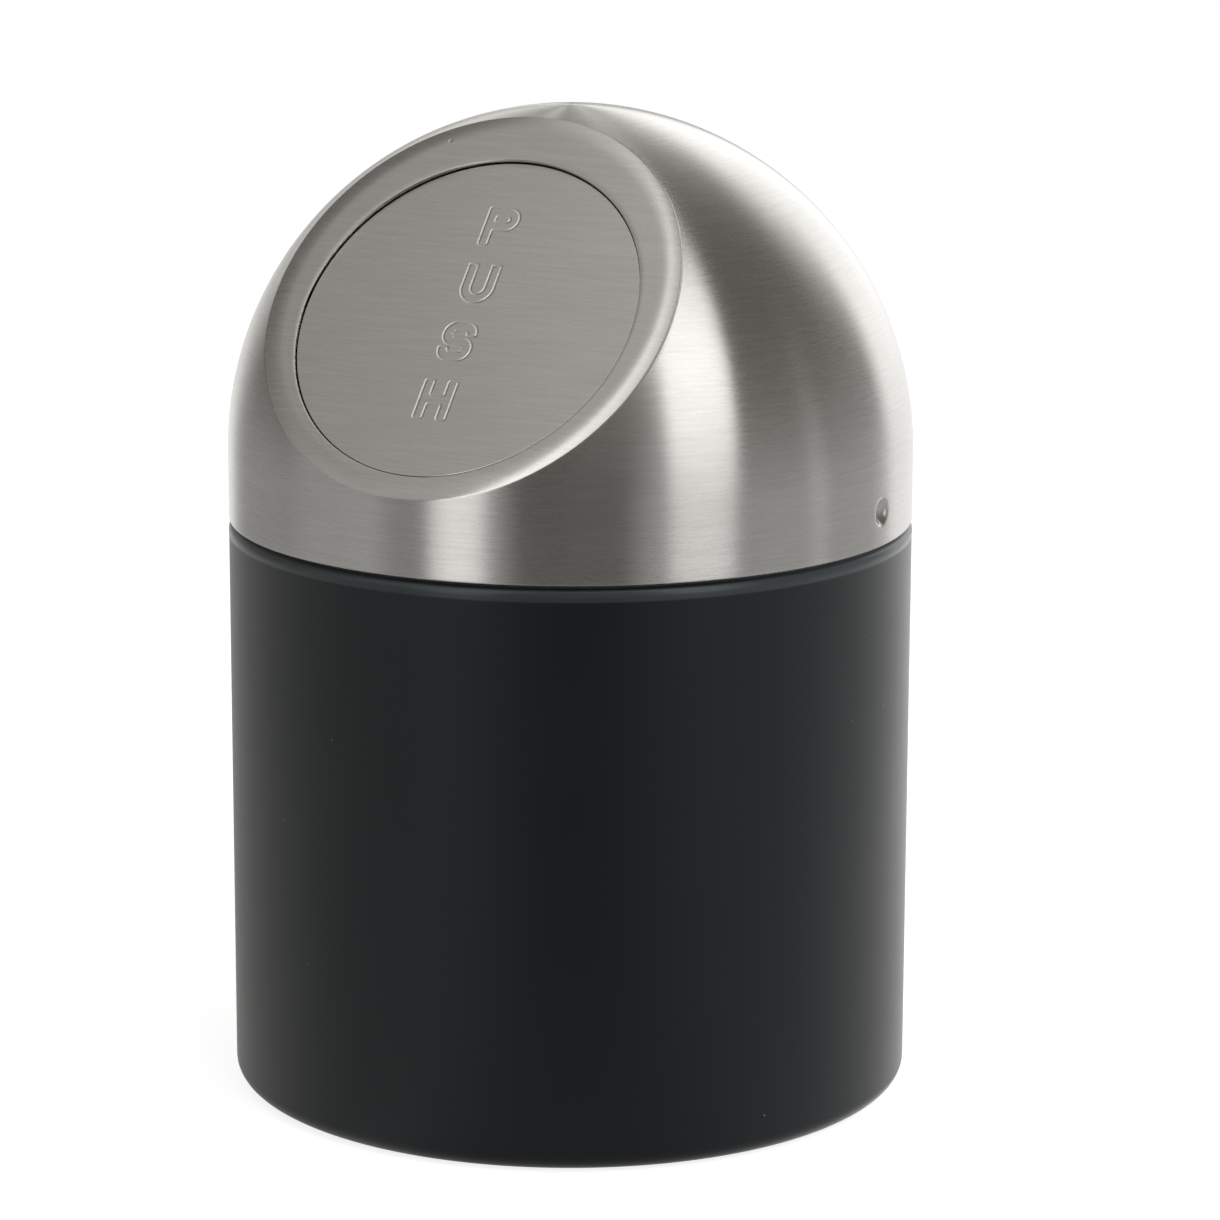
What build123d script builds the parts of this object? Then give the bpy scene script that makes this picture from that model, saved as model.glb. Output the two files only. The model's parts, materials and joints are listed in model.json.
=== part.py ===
from build123d import *
import os
from math import asin, atan, cos, degrees, radians, sin, tan

# Push top countertop bin: a painted steel can and a stainless dome lid with a sprung flap.
# Units are millimetres and degrees.  +Z is up, the flap faces -Y, and the origin is the
# centre of the circle on which the bin stands.

os.makedirs("parts", exist_ok=True)

# ---------------------------------------------------------------- driving dimensions
# Can
can_diameter = 120.0        # outside of the wall
can_height = 100.7          # standing rim to the top of the shoulder
can_wall = 0.6
foot_corner = 3.0           # rounding between wall and base
base_rise = 1.6             # base panel above the standing rim
standing_rim = 5.0          # from the wall's outside to the recess in the base
base_corner = 1.2
shoulder_corner = 1.2
bead_height = 1.7           # slightly proud band under the lid's edge
bead_proud = 0.12
bead_ramp = 0.4
neck_height = 6.5           # spigot that the lid fits over
neck_corner = 0.8
curl_corner = 0.85          # rolled top edge of the neck
curl_width = 1.8
curl_drop = 1.2

# Foot ring
foot_proud = 0.4            # how far the ring stands out under the can
foot_width = 6.0
foot_clearance = 1.0        # to the recess's wall
foot_edge = 0.5

# Dome lid
lid_sheet = 0.6
seam_gap = 0.4              # lid's lower edge above the can's shoulder
skirt_height = 12.0         # upright part below the hemisphere
hem_round = 0.35            # lower outer edge of the skirt
facet_tilt = 40.0           # rise of the facet's normal above level
facet_rise = 1.12           # lowest point of the facet's rim above the skirt
roll_width = 3.4            # band in which the facet rolls over to its rim
roll_drop = 0.45
crease_round = 0.5
hole_offset = 2.4           # hole's centre below the facet's centre
ring_width = 4.2            # facet between its rim and the hole, at its narrowest
lip_depth = 1.8             # turned-in edge of the hole
lip_round = 0.45
dimple_radius = 2.5
dimple_depth = 0.9
dimple_rise = 6.0           # above the lid's lower edge

# Collar in the skirt
collar_seat = 0.05          # bond line between collar and skirt
collar_wall = 1.4
collar_rise = 0.4           # above the lid's lower edge
collar_height = 10.2
collar_gap = 0.4            # collar to neck, sideways and above
collar_flange = 1.4
plug_wall = 1.2
plug_depth = 4.4
window_clearance = 0.7      # round each dimple

# Flap
flap_gap = 0.4              # all round, to the hole
flap_recess = 0.3           # face below the facet
flap_sheet = 0.6
flap_edge_depth = 1.75      # turned edge, from the face
flap_edge_round = 0.5
tape_thickness = 0.4
tape_margin = 2.0
carrier_gap = 0.1           # inside the flap's turned edge
carrier_plate = 1.4
carrier_wall = 1.4
carrier_skirt = 2.0         # wall behind the plate
wall_start_angle = 62.0     # from the top, where the wall starts
rib_width = 1.2
rib_depth = 1.2
tongue_thickness = 1.2
tongue_reach = 3.9          # past the hole's edge
tongue_lap_angle = 12.0     # how far a tongue runs back under the frame's arm
tongue_angle = 38.0         # its length round the flap

# Hinge
axle_radius = 1.0
axle_fit = 0.05             # running clearance in the knuckles
hinge_setback = 3.2         # axis below the hole's top edge, along the facet
hinge_depth = 4.5           # axis behind the flap's face
boss_radius = 2.1
ear_offset = 13.6           # inner face of an ear from the middle
ear_width = 2.2
ear_reach = 3.0             # ear's arm past the axis
knuckle_width = 2.5
side_play = 0.3
swing_gap = 0.4             # round the knuckles and clips, to the frame
clip_radius = 2.25
clip_width = 0.6
clip_gap = 0.25
groove_depth = 0.25
axle_tail = 0.5
spring_wire = 0.6
spring_bore_gap = 0.45      # between axle and coil
spring_turns = 4
spring_pitch = 0.78
spring_leg = 8.0
seat_width = 2.4
seat_length = 3.0

# Hinge frame
frame_gap = 0.2             # to the dome's sheet and to the hole's lip
head_thickness = 3.0
arm_thickness = 2.0
head_angle = 60.0           # thick part, from the top, each way
arm_angle = 124.0           # arms' ends, from the top
stop_inset_angle = 6.0      # stop pad, back from the arm's end
stop_radius = 1.5
stop_gap = 0.1
top_stud_angle = 24.2       # from the top
top_stud_inset = 5.5        # from the hole's edge
arm_stud_angle = 92.0       # from the top
arm_stud_inset = 3.1        # from the hole's edge
weld_line = 0.05            # stud to sheet
stud_radius = 1.0
stud_tail = 1.2
washer_radius = 2.3
washer_thickness = 0.4

cut_over = 1.0              # how far a cutting tool runs past what it cuts

# ---------------------------------------------------------------- derived values
can_radius = can_diameter / 2
can_foot_z = foot_proud
shoulder_z = can_foot_z + can_height
lid_edge_z = shoulder_z + seam_gap
dome_z = lid_edge_z + skirt_height
dome_inner_radius = can_radius - lid_sheet

rim_angle = radians(facet_tilt) - asin(facet_rise / can_radius)
rim_plane = can_radius * cos(rim_angle)
facet_rim_radius = can_radius * sin(rim_angle)
facet_z = rim_plane + roll_drop                     # facet's face from the dome's centre
roll_end = 2 * degrees(atan(roll_drop / roll_width))
roll_radius = roll_width / sin(radians(roll_end))
roll_start = facet_rim_radius - roll_width
facet_under = facet_z - lid_sheet
hole_y = -hole_offset
hole_radius = facet_rim_radius - hole_offset - ring_width
lip_outer_radius = hole_radius + lid_sheet

collar_outer_radius = dome_inner_radius - collar_seat
collar_inner_radius = collar_outer_radius - collar_wall
neck_radius = collar_inner_radius - collar_gap
neck_top_z = shoulder_z + neck_height
collar_bottom_z = lid_edge_z + collar_rise
flange_z = neck_top_z + collar_gap
plug_outer_radius = neck_radius - curl_width - collar_gap
plug_inner_radius = plug_outer_radius - plug_wall
recess_radius = can_radius - standing_rim

flap_radius = hole_radius - flap_gap
flap_z = facet_z - flap_recess
tape_top = flap_z - flap_sheet
carrier_top = tape_top - tape_thickness
carrier_under = carrier_top - carrier_plate
carrier_radius = flap_radius - flap_sheet - carrier_gap
carrier_wall_end = carrier_under - carrier_skirt

axle_y = hole_y + hole_radius - hinge_setback
axle_z = flap_z - hinge_depth
knuckle_outer = ear_offset - side_play
knuckle_inner = knuckle_outer - knuckle_width
clip_x = ear_offset + ear_width + clip_gap
axle_half = clip_x + clip_width + axle_tail
coil_radius = axle_radius + spring_bore_gap + spring_wire / 2
coil_outer_x = knuckle_inner - side_play - spring_wire / 2
coil_inner_x = coil_outer_x - spring_turns * spring_pitch
leg_z = axle_z - coil_radius
seat_z = leg_z + spring_wire / 2

frame_top = facet_under - frame_gap
frame_bore = lip_outer_radius + frame_gap
ear_top = facet_z - lip_depth - frame_gap
head_under = frame_top - head_thickness
arm_under = frame_top - arm_thickness
tongue_top = arm_under - washer_thickness - 2 * stop_gap
stop_under = tongue_top + stop_gap
stop_angle = arm_angle - stop_inset_angle
tongue_start_angle = arm_angle - tongue_lap_angle

facet = Plane(
    origin=(0, 0, dome_z),
    x_dir=(1, 0, 0),
    z_dir=(0, -cos(radians(facet_tilt)), sin(radians(facet_tilt))),
)
SIDES = (("left", -1), ("right", 1))


# ---------------------------------------------------------------- helpers
def spin(line):
    """Turn a closed outline in the (radius, height) plane about the Z axis."""
    return revolve(make_face(Plane.XZ * line), Axis.Z)


def spin_polygon(*points):
    return spin(Polyline(*points, close=True))


def disc(radius, low, high, x=0.0, y=0.0):
    return Pos(x, y, (low + high) / 2) * Cylinder(radius, high - low)


def ring(outer, inner, low, high, x=0.0, y=0.0):
    return disc(outer, low, high, x, y) - disc(inner, low - cut_over, high + cut_over, x, y)


def block(x, y, z):
    """Box from (low, high) pairs."""
    size = [high - low for low, high in (x, y, z)]
    centre = [(high + low) / 2 for low, high in (x, y, z)]
    return Pos(*centre) * Box(*size)


def rod(x0, x1, y, z, radius):
    """Bar along X between two places."""
    return Pos((x0 + x1) / 2, y, z) * Rot(0, 90, 0) * Cylinder(radius, abs(x1 - x0))


def sector(radius, start, end, low, high, y=0.0):
    """Wedge between two angles, counted from the facet's top towards +X."""
    steps = 12
    angles = [radians(start + (end - start) * i / steps) for i in range(steps + 1)]
    rim = [(radius * sin(a), y + radius * cos(a)) for a in angles]
    outline = make_face(Polyline((0, y), *rim, close=True))
    return Pos(0, 0, low) * extrude(outline, high - low)


def around_hole(angle, radius):
    """Place on the facet at an angle from the top of the hole's centre line."""
    return radius * sin(radians(angle)), hole_y + radius * cos(radians(angle))


def mirrored(solid):
    return mirror(solid, about=Plane.YZ)


def save(name, shape, on_facet=False):
    placed = facet.location * shape if on_facet else shape
    placed.label = name
    export_step(placed, f"parts/{name}.step")


# ---------------------------------------------------------------- can
def make_can_body():
    """Drawn steel can: raised base, straight wall, beaded shoulder and a necked mouth."""
    z = can_foot_z
    bead_radius = can_radius + bead_proud
    bead_z = shoulder_z - bead_height
    curl_radius = neck_radius - curl_width
    corners = [
        ((recess_radius - base_rise, z + base_rise), base_corner),
        ((recess_radius, z), base_corner),
        ((can_radius, z), foot_corner),
        ((can_radius, bead_z - bead_ramp), 2 * bead_ramp),
        ((bead_radius, bead_z), 2 * bead_ramp),
        ((bead_radius, shoulder_z), shoulder_corner),
        ((neck_radius, shoulder_z), neck_corner),
        ((neck_radius, neck_top_z), curl_corner),
        ((curl_radius, neck_top_z), curl_corner),
    ]
    outside = FilletPolyline(
        (0, z + base_rise),
        *[point for point, _ in corners],
        (curl_radius, neck_top_z - curl_drop),
        radius=[radius for _, radius in corners],
    )
    return spin(offset(outside, can_wall, side=Side.RIGHT))


def make_foot_ring():
    """Soft ring let into the base, on which the bin stands."""
    outer = recess_radius - base_rise - foot_clearance
    shape = ring(outer, outer - foot_width, 0, can_foot_z + base_rise)
    return fillet(shape.edges().group_by(Axis.Z)[0], foot_edge)


# ---------------------------------------------------------------- dome lid
def facet_cutter(face_z, radius):
    """Everything under the facet: flat, then rolling over to the rim and beyond."""
    start = roll_start
    end_x = start + radius * sin(radians(roll_end))
    end_z = face_z - radius * (1 - cos(radians(roll_end)))
    reach = can_diameter
    low = -can_diameter - skirt_height
    fall = (reach - end_x) * tan(radians(roll_end))
    line = Polyline((start, face_z), (0, face_z), (0, low), (reach, low), (reach, end_z - fall))
    line += Line((reach, end_z - fall), (end_x, end_z))
    line += CenterArc((start, face_z - radius), radius, 90 - roll_end, roll_end)
    return facet.location * spin(line)


def dome_body(depth):
    """Everything in the lid that is at least so far behind its outside."""
    radius = can_radius - depth
    low = lid_edge_z - depth
    outline = Polyline((0, dome_z + radius), (0, low), (radius, low), (radius, dome_z))
    outline += CenterArc((0, dome_z), radius, 0, 90)
    return Rot(0, 0, 90) * spin(outline) & facet_cutter(facet_z - depth, roll_radius - depth)


def behind_facet(depth):
    return facet.location.inverse() * dome_body(depth)


def make_lid_dome():
    """Stainless dome with its facet, the flap's hole and the two dimples in the skirt."""
    outer = dome_body(0)
    crease = outer.edges().filter_by(GeomType.LINE, reverse=True).sort_by(
        lambda edge: abs((facet.to_local_coords(edge @ 0.3)).Z - rim_plane)
    )[0]
    outer = fillet(crease, crease_round)
    outer = fillet(outer.edges().group_by(Axis.Z)[0], hem_round)
    shell = outer - dome_body(lid_sheet)
    hole = disc(lip_outer_radius, facet_under - cut_over, facet_z + cut_over, y=hole_y)
    shell -= facet.location * hole
    lip = ring(lip_outer_radius, hole_radius, facet_z - lip_depth, facet_z, y=hole_y)
    mouth = lip.edges().group_by(Axis.Z)[-1].sort_by(SortBy.RADIUS)[0]
    shell += facet.location * fillet(mouth, lip_round)
    dimple_z = lid_edge_z + dimple_rise
    ball = (dimple_radius**2 + dimple_depth**2) / (2 * dimple_depth)
    for _, side in SIDES:
        centre = Pos(side * (can_radius + ball - dimple_depth), 0, dimple_z) * Rot(0, 90, 0)
        bump = centre * Sphere(ball + lid_sheet)
        shell += bump & disc((can_radius + dome_inner_radius) / 2, lid_edge_z, dome_z)
        shell -= centre * Sphere(ball)
    return shell


def make_lid_collar():
    """Moulded collar in the skirt: it slips over the can's neck and plugs its mouth."""
    top = collar_bottom_z + collar_height
    flange_top = flange_z + collar_flange
    shape = spin_polygon(
        (collar_outer_radius, collar_bottom_z),
        (collar_outer_radius, top),
        (collar_inner_radius, top),
        (collar_inner_radius, flange_top),
        (plug_inner_radius, flange_top),
        (plug_inner_radius, flange_z - plug_depth),
        (plug_outer_radius, flange_z - plug_depth),
        (plug_outer_radius, flange_z),
        (collar_inner_radius, flange_z),
        (collar_inner_radius, collar_bottom_z),
    )
    window = rod(
        -can_radius, can_radius, 0, lid_edge_z + dimple_rise, dimple_radius + window_clearance
    )
    return shape - (window - disc(neck_radius, 0, dome_z))


# ---------------------------------------------------------------- hinge frame
def make_hinge_frame():
    """Moulded horseshoe behind the facet, with the hinge ears and the spring seats."""
    shape = sector(can_diameter, -head_angle, head_angle, head_under, frame_top, hole_y)
    shape += sector(can_diameter, -arm_angle, arm_angle, arm_under, frame_top, hole_y)
    shape &= behind_facet(lid_sheet + frame_gap)
    shape -= disc(frame_bore, head_under - cut_over, frame_top + cut_over, y=hole_y)
    shape -= rod(-ear_offset, ear_offset, axle_y, axle_z, boss_radius + swing_gap)
    for _, side in SIDES:
        end_x = sorted((side * (ear_offset + ear_width), side * (axle_half + axle_tail)))
        shape -= rod(*end_x, axle_y, axle_z, clip_radius + swing_gap)
        ear_x = sorted((side * ear_offset, side * (ear_offset + ear_width)))
        shape += block(ear_x, (axle_y, axle_y + ear_reach), (axle_z, ear_top))
        shape += rod(*ear_x, axle_y, axle_z, boss_radius)
        seat_x = (side * coil_inner_x - seat_width / 2, side * coil_inner_x + seat_width / 2)
        seat_y = hole_y + frame_bore
        shape += block(seat_x, (seat_y, seat_y + seat_length), (seat_z, frame_top))
    shape -= rod(-2 * ear_offset, 2 * ear_offset, axle_y, axle_z, axle_radius)
    for x, y, _ in stud_places():
        shape -= disc(stud_radius, head_under - cut_over, frame_top + cut_over, x, y)
    return shape


def stud_places():
    """Each stud's place on the facet, with the frame's underside there."""
    places = []
    for _, side in SIDES:
        x, y = around_hole(side * top_stud_angle, hole_radius + top_stud_inset)
        places.append((x, y, head_under))
        x, y = around_hole(side * arm_stud_angle, hole_radius + arm_stud_inset)
        places.append((x, y, arm_under))
    return places


def make_frame_studs():
    """Studs welded to the back of the facet."""
    inside = behind_facet(lid_sheet + weld_line)
    return [
        disc(stud_radius, under - stud_tail, facet_under, x, y) & inside
        for x, y, under in stud_places()
    ]


def make_stud_clips():
    """Push-on washers that hold the frame on its studs."""
    return [
        ring(washer_radius, stud_radius, under - washer_thickness, under, x, y)
        for x, y, under in stud_places()
    ]


def make_hinge_axle():
    shape = rod(-axle_half, axle_half, axle_y, axle_z, axle_radius)
    for _, side in SIDES:
        groove = rod(side * clip_x, side * (clip_x + clip_width), axle_y, axle_z, axle_radius + cut_over)
        core = rod(-axle_half, axle_half, axle_y, axle_z, axle_radius - groove_depth)
        shape -= groove - core
    return shape


def make_axle_clip(side):
    """E-clip in the axle's groove, open towards the inside of the bin."""
    core_radius = axle_radius - groove_depth
    span = sorted((side * clip_x, side * (clip_x + clip_width)))
    shape = rod(*span, axle_y, axle_z, clip_radius) - rod(*span, axle_y, axle_z, core_radius)
    slot = block(span, (axle_y - core_radius, axle_y + core_radius), (axle_z - 2 * clip_radius, axle_z))
    return shape - slot


def make_return_spring(side):
    """Torsion spring round the axle: one leg under the carrier, one under the frame."""
    width = spring_turns * spring_pitch
    start = Plane(origin=(-coil_outer_x, axle_y, axle_z), x_dir=(0, 0, -1), z_dir=(1, 0, 0))
    coil = Helix(spring_pitch, width, coil_radius)
    section = Plane(origin=coil @ 0, z_dir=coil % 0) * Circle(spring_wire / 2)
    shape = sweep(section, path=coil, is_frenet=True)
    for end, direction in ((0, -1), (1, 1)):
        tip = Plane(origin=coil @ end, z_dir=direction * (coil % end)) * Circle(spring_wire / 2)
        shape += extrude(tip, spring_leg)
    placed = start.location * shape
    return placed if side < 0 else mirrored(placed)


def make_stop_pad(side):
    """Rubber button under the end of the frame's arm, which the flap's tongue closes on."""
    x, y = around_hole(side * stop_angle, hole_radius + tongue_reach - stop_radius)
    return disc(stop_radius, stop_under, arm_under, x, y)


# ---------------------------------------------------------------- flap
def make_flap_disc():
    """Stainless disc with a turned edge."""
    pan = disc(flap_radius, flap_z - flap_edge_depth, flap_z, y=hole_y)
    pan = fillet(pan.edges().group_by(Axis.Z)[-1], flap_edge_round)
    return pan - disc(flap_radius - flap_sheet, flap_z - 2 * flap_edge_depth, tape_top, y=hole_y)


def make_flap_tape():
    return disc(carrier_radius - tape_margin, carrier_top, tape_top, y=hole_y)


def make_flap_carrier():
    """Moulded backing with the hinge knuckles, the spring seats and the stop tongues."""
    shape = disc(carrier_radius, carrier_under, carrier_top, y=hole_y)
    wall = ring(carrier_radius, carrier_radius - carrier_wall, carrier_wall_end, carrier_under, y=hole_y)
    wall_angles = (wall_start_angle, 360 - wall_start_angle)
    wall &= sector(can_diameter, *wall_angles, carrier_wall_end, carrier_under, hole_y)
    shape += wall
    inside = carrier_radius - carrier_wall / 2
    rib_z = (carrier_under - rib_depth, carrier_under)
    rib_end = axle_y - 4 * boss_radius
    shape += block((-rib_width / 2, rib_width / 2), (hole_y - inside, rib_end), rib_z)
    shape += block((-inside, inside), (hole_y - rib_width / 2, hole_y + rib_width / 2), rib_z)
    reach = hole_radius + tongue_reach
    tongue_under = tongue_top - tongue_thickness
    band = ring(reach, carrier_radius - carrier_wall, tongue_under, tongue_top, y=hole_y)
    for _, side in SIDES:
        arc = sorted((side * tongue_start_angle, side * (tongue_start_angle + tongue_angle)))
        shape += band & sector(can_diameter, *arc, tongue_under, tongue_top, hole_y)
        knuckle_x = sorted((side * knuckle_inner, side * knuckle_outer))
        shape += block(knuckle_x, (axle_y - boss_radius, axle_y), (axle_z, carrier_under))
        shape += rod(*knuckle_x, axle_y, axle_z, boss_radius)
        seat_x = (side * coil_outer_x - seat_width / 2, side * coil_outer_x + seat_width / 2)
        seat_y = (axle_y - spring_leg, axle_y - spring_leg + seat_length)
        shape += block(seat_x, seat_y, (seat_z, carrier_under))
    return shape - rod(-ear_offset, ear_offset, axle_y, axle_z, axle_radius + axle_fit)


# ---------------------------------------------------------------- write the pieces
save("can_body", make_can_body())
save("foot_ring", make_foot_ring())
save("lid_dome", make_lid_dome())
save("lid_collar", make_lid_collar())
save("hinge_frame", make_hinge_frame(), on_facet=True)
save("frame_studs", Compound(children=make_frame_studs()), on_facet=True)
save("stud_clips", Compound(children=make_stud_clips()), on_facet=True)
save("hinge_axle", make_hinge_axle(), on_facet=True)
save("flap_disc", make_flap_disc(), on_facet=True)
save("flap_tape", make_flap_tape(), on_facet=True)
save("flap_carrier", make_flap_carrier(), on_facet=True)
for word, sign in SIDES:
    save(f"axle_clip_{word}", make_axle_clip(sign), on_facet=True)
    save(f"return_spring_{word}", make_return_spring(sign), on_facet=True)
    save(f"stop_pad_{word}", make_stop_pad(sign), on_facet=True)
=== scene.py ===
import json
from math import asin, atan, atan2, cos, hypot, pi, radians, sin, sqrt, tan

import bmesh
import bpy
import numpy as np
from bpy.props import FloatProperty, FloatVectorProperty, IntProperty, PointerProperty
from mathutils import Matrix, Vector
from mathutils.geometry import delaunay_2d_cdt


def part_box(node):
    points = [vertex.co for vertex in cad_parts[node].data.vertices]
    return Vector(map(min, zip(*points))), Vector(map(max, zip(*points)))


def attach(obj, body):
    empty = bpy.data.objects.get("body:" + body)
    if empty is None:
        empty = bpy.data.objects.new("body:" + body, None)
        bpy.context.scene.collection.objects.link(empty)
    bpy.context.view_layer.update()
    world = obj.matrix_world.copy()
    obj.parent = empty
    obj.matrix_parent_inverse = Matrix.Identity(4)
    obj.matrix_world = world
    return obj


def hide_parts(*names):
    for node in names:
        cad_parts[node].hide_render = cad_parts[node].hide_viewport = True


bl_info = {
    "name": "Push Top Bin",
    "version": (1, 0, 0),
    "blender": (4, 5, 0),
    "location": "View3D > Sidebar > Push Top Bin",
    "description": "Builds the finish of a small push top bin on its packed frame",
    "category": "Object",
}

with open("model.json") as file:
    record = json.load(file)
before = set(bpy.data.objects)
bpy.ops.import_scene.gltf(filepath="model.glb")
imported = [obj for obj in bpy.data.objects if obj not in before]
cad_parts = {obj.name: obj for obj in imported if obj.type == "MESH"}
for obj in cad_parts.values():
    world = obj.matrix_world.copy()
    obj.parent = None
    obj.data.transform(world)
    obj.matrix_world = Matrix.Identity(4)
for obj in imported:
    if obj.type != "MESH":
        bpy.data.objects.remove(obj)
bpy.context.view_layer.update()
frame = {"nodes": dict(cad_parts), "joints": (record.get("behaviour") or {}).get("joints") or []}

MM = 0.001
CAN_LOW, CAN_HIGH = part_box("can_body")
LID_LOW, LID_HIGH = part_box("lid_dome")
FLOOR_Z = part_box("foot_ring")[0].z
DOME_RADIUS = round(LID_HIGH.x, 5)
DOME_CENTRE_Z = round(LID_HIGH.z, 5) - DOME_RADIUS


# ---- sizes and colours
def length(name, description, default):
    """A length, given in millimetres and kept in metres."""
    return FloatProperty(
        name=name,
        description=description,
        default=default * MM,
        min=0.0,
        precision=5,
        subtype="DISTANCE",
        unit="LENGTH",
    )


def angle(name, description, default):
    """An angle, given in degrees and kept in radians."""
    return FloatProperty(
        name=name, description=description, default=radians(default), subtype="ANGLE", unit="ROTATION"
    )


def share(name, description, default, high=1.0):
    """A share or a strength, from none up to a highest value."""
    return FloatProperty(
        name=name, description=description, default=default, min=0.0, max=high, subtype="FACTOR"
    )


def tone(name, description, default):
    """A colour as linear red, green and blue."""
    return FloatVectorProperty(
        name=name, description=description, default=default, size=3, min=0.0, max=1.0, subtype="COLOR"
    )


class CanSizes(bpy.types.PropertyGroup):
    """The painted can and the ring that it stands on."""

    wall: length("Wall", "Thickness of the can's sheet", 0.6)
    foot_corner: length("Foot Corner", "Rounding between wall and base", 3.0)
    base_corner: length("Base Corner", "Rounding round the recess in the base", 1.2)
    base_rise: length("Base Rise", "Base panel above the standing rim", 1.6)
    standing_rim: length("Standing Rim", "From the wall's outside to the recess", 5.0)
    bead_height: length("Bead Height", "Slightly proud band under the lid", 1.7)
    bead_proud: length("Bead Proud", "How far the bead stands out", 0.06)
    bead_ramp: length("Bead Ramp", "Height in which the bead rises", 0.6)
    shoulder_corner: length("Shoulder Corner", "Rounding at the top of the bead", 1.6)
    neck_height: length("Neck Height", "Spigot that the lid slips over", 6.5)
    neck_inset: length("Neck Inset", "From the wall's outside to the neck's", 2.45)
    neck_corner: length("Neck Corner", "Rounding at the foot of the neck", 0.8)
    curl_corner: length("Curl Corner", "Rounding of the rolled top edge", 0.85)
    curl_width: length("Curl Width", "Width of the rolled top edge", 1.8)
    curl_drop: length("Curl Drop", "Height of the rolled edge's inner side", 1.2)
    turn_steps: IntProperty(name="Turn Steps", description="Steps round the can", default=256, min=32)


class LidSizes(bpy.types.PropertyGroup):
    """The dome with its slanted facet."""

    sheet: length("Sheet", "Thickness of the dome's sheet", 0.6)
    tilt: angle("Tilt", "Rise of the facet's normal above level", 40.0)
    rim_rise: length("Rim Rise", "Lowest point of the facet's rim above the skirt", 1.12)
    roll_width: length("Roll Width", "Band in which the facet rolls over to its rim", 3.4)
    roll_drop: length("Roll Drop", "How far the facet falls to its rim", 0.45)
    crease: length("Crease", "Rounding between the facet's rim and the dome", 0.9)
    hole_offset: length("Hole Offset", "Hole's centre below the facet's centre", 2.4)
    ring_width: length("Ring Width", "Facet between rim and hole, at its narrowest", 4.2)
    lip_depth: length("Lip Depth", "Turned-in edge of the hole", 1.8)
    lip_round: length("Lip Round", "Rounding of the hole's edge", 0.12)
    hem: length("Hem", "Rounding of the skirt's lower edge", 0.35)
    dimple_radius: length("Dimple Radius", "Radius of the dent in each side", 2.3)
    dimple_depth: length("Dimple Depth", "Depth of the dent in each side", 1.12)
    dimple_rise: length("Dimple Rise", "Dent's centre above the lid's lower edge", 6.0)
    dimple_blend: length("Dimple Blend", "Softness of the dent's edge", 0.2)
    mark_aside: length("Mark Aside", "Weld mark to the left of the facet's middle", 15.0)
    mark_up: length("Mark Up", "Weld mark above the facet's middle", 31.6)
    turn_steps: IntProperty(name="Turn Steps", description="Steps round the facet", default=240, min=32)


class FlapSizes(bpy.types.PropertyGroup):
    """The round flap and the word pressed into it."""

    gap: length("Gap", "Between the flap and the hole, at either side", 0.18)
    aside: length("Aside", "How far the flap sits to the right of the hole's middle", 0.08)
    drop: length("Drop", "Flap's centre below the hole's", 0.06)
    recess: length("Recess", "Flap's face below the facet, at its lowest edge", 0.06)
    lean: angle("Lean", "How far the flap's hinged side stands in", 0.7)
    sheet: length("Sheet", "Thickness of the flap's sheet", 0.2)
    edge_depth: length("Edge Depth", "Turned edge of the flap", 1.75)
    edge_round: length("Edge Round", "Rounding of the flap's edge", 0.15)
    letter_height: length("Letter Height", "Height of each letter", 7.4)
    letter_width: length("Letter Width", "Width of each letter", 6.1)
    letter_stroke: length("Letter Stroke", "Width of a letter's stroke", 1.7)
    letter_pitch: length("Letter Pitch", "From one letter to the next", 11.45)
    letter_top: length("Letter Top", "Middle of the first letter above the facet's centre", 15.7)
    groove_width: length("Groove Width", "Width of the pressed line", 0.62)
    groove_depth: length("Groove Depth", "Depth of the pressed line", 0.055)


class WorksSizes(bpy.types.PropertyGroup):
    """The springs that shut the flap."""

    spring_wire: length("Spring Wire", "Thickness of the spring's wire", 0.6)
    coil_radius: length("Coil Radius", "From the axle's middle to the wire's middle", 1.75)
    coil_pitch: length("Coil Pitch", "From one turn to the next", 0.78)
    coil_turns: IntProperty(name="Coil Turns", description="Turns of the coil", default=4, min=1)
    leg: length("Leg", "Straight end of the wire", 8.0)
    moving_arc: angle("Moving Arc", "Part of the coil that turns with the flap", 70.0)
    wire_steps: IntProperty(name="Wire Steps", description="Steps round the wire", default=14, min=6)


class Finishes(bpy.types.PropertyGroup):
    """Colours and gloss."""

    paint: tone("Paint", "The can's black paint", (0.0005, 0.0030, 0.0046))
    # Painted highlight: the bead's paler paint stands in for the light that its rounded top catches
    # from above
    bead_painted_highlight: tone("Paint Band", "Paint on the bead under the lid", (0.026, 0.033, 0.036))
    paint_dust: tone("Paint Dust", "Specks of dust on the paint", (0.16, 0.16, 0.15))
    paint_rough: share("Paint Roughness", "How dull the paint is", 0.49)
    band_rough: share("Bead Roughness", "Roughness of the coat on the bead", 0.27)
    paint_gloss: share("Paint Gloss", "Strength of the paint's mirror reflection", 0.35)
    paint_sheen: share("Paint Sheen", "How much the paint pales at its edges", 0.78)
    sheen_rough: share("Sheen Roughness", "How far in from the edges the paint pales", 0.36)
    steel: tone("Steel", "Brushed steel of the lid", (0.575, 0.565, 0.54))
    steel_light: tone("Steel Light", "Paler brush lines", (0.65, 0.64, 0.615))
    steel_rough: share("Steel Roughness", "Spread of the steel's reflections", 0.29)
    steel_grain: share("Steel Grain", "How far reflections spread across the brush lines", 1.0)
    plastic: tone("Plastic", "Moulded parts inside", (0.018, 0.018, 0.02))
    rubber: tone("Rubber", "Foot ring and stop pads", (0.03, 0.03, 0.03))
    foam: tone("Foam", "Tape under the flap's face", (0.72, 0.71, 0.68))
    wire: tone("Wire", "Springs, clips, studs and axle", (0.42, 0.42, 0.43))


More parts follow.
